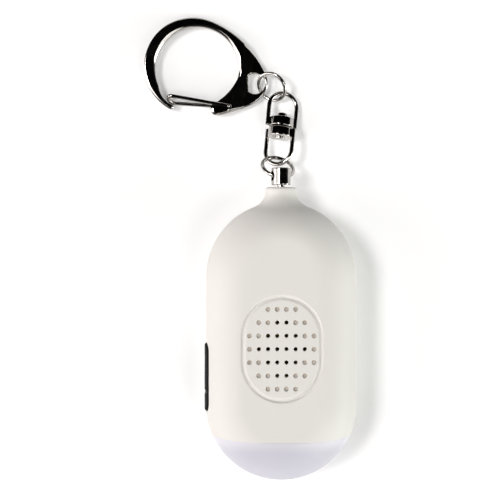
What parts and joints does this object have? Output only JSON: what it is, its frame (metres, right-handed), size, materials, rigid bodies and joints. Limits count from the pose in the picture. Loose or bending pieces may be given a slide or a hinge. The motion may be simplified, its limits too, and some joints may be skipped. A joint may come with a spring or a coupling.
{
  "type": "personal safety alarm",
  "caption": "Pill-shaped personal alarm with a sounder grille, a translucent lamp end, a side port cover and a metal pull pin on a swivel chain with a snap hook.",
  "frame": {"origin": "middle of the flat back, on the surface that the alarm lies on", "axes": "+Z out of the front with the grille, +Y along the body towards the neck and the pull pin, +X to the right seen from the front"},
  "size_m": [0.0515, 0.112, 0.02],
  "materials": {
    "shell": "fine satin moulding",
    "lens": "translucent, lightly frosted",
    "silicone": "matte moulded",
    "chrome_plate": "polished plate",
    "steel_pin": "drawn wire",
    "steel_sheet": "drawn sheet",
    "brass_sheet": "rolled sheet",
    "piezo_ceramic": "silvered ceramic",
    "board_laminate": "solder mask",
    "black_plastic": "moulded",
    "ferrite": "pressed ferrite",
    "can_sleeve": "shrink sleeve",
    "diode_resin": "phosphor resin",
    "cell_foil": "laminated foil",
    "foam": "closed-cell foam",
    "wire_jacket": "extruded jacket"
  },
  "bodies": {
    "housing": {"front_shell": "shell", "rear_shell": "shell", "lamp_lens": "lens", "sounder_disc": "brass_sheet", "sounder_ceramic": "piezo_ceramic", "sounder_leads": "wire_jacket", "circuit_board": "board_laminate", "control_chip": "black_plastic", "boost_coil": "ferrite", "capacitor": "can_sleeve", "chip_parts": "piezo_ceramic", "usb_socket": "steel_sheet", "usb_tongue": "black_plastic", "lamp_board": "board_laminate", "lamp_leds": "diode_resin", "battery_cell": "cell_foil", "battery_pad": "foam", "battery_leads": "wire_jacket", "pin_switch": "black_plastic", "switch_leaf": "brass_sheet", "housing_screws": "steel_sheet", "port_cover_anchor": "silicone"},
    "port_cover": {"port_cover_flap": "silicone"},
    "pull_pin": {"pin_rod": "steel_pin", "pin_cap": "chrome_plate"},
    "pin_ring": {"pin_ring": "chrome_plate"},
    "swivel_lower": {"swivel_lower": "chrome_plate", "swivel_rivet": "chrome_plate"},
    "swivel_upper": {"swivel_upper": "chrome_plate"},
    "hook_ring": {"hook_ring": "chrome_plate"},
    "hook": {"hook_body": "chrome_plate"},
    "gate": {"hook_gate": "chrome_plate"}
  },
  "joints": [
    {"name": "port_cover_open", "type": "hinge", "parent": "housing", "child": "port_cover", "pos_m": [-0.01835, -0.0121, 0.01], "axis": [0, 0, 1], "range_deg": [0, 110], "stiffness_Nm_per_rad": 0.0004},
    {"name": "pin_pull", "type": "slide", "parent": "housing", "child": "pull_pin", "axis": [0, 1, 0], "range_m": [0, 0.022]},
    {"name": "pin_ring_swing", "type": "hinge", "parent": "pull_pin", "child": "pin_ring", "pos_m": [0, 0.03945, 0.01], "axis": [0.9511, 0, -0.309], "range_deg": [-50, 90]},
    {"name": "swivel_swing", "type": "hinge", "parent": "pin_ring", "child": "swivel_lower", "pos_m": [-0.00084, 0.0426, 0.0052], "axis": [0.9026, -0.0108, 0.4303], "range_deg": [-12, 45]},
    {"name": "swivel_turn", "type": "hinge", "parent": "swivel_lower", "child": "swivel_upper", "pos_m": [0.0001, 0.05153, 0.00345], "axis": [0.1026, 0.9762, -0.1908], "continuous": true},
    {"name": "hook_ring_swing", "type": "hinge", "parent": "swivel_upper", "child": "hook_ring", "pos_m": [-0.00019, 0.06014, 0.00212], "axis": [-0.9309, -0.2013, 0.3048], "range_deg": [-100, 40]},
    {"name": "hook_swing", "type": "hinge", "parent": "hook_ring", "child": "hook", "pos_m": [-0.00624, 0.06252, 0.0018], "axis": [0, 0, 1], "range_deg": [-65, 30]},
    {"name": "gate_open", "type": "hinge", "parent": "hook", "child": "gate", "pos_m": [-0.01251, 0.05696, 0.0018], "axis": [0, 0, -1], "range_deg": [0, 26], "stiffness_Nm_per_rad": 0.004, "springref_deg": -20.05}
  ]
}
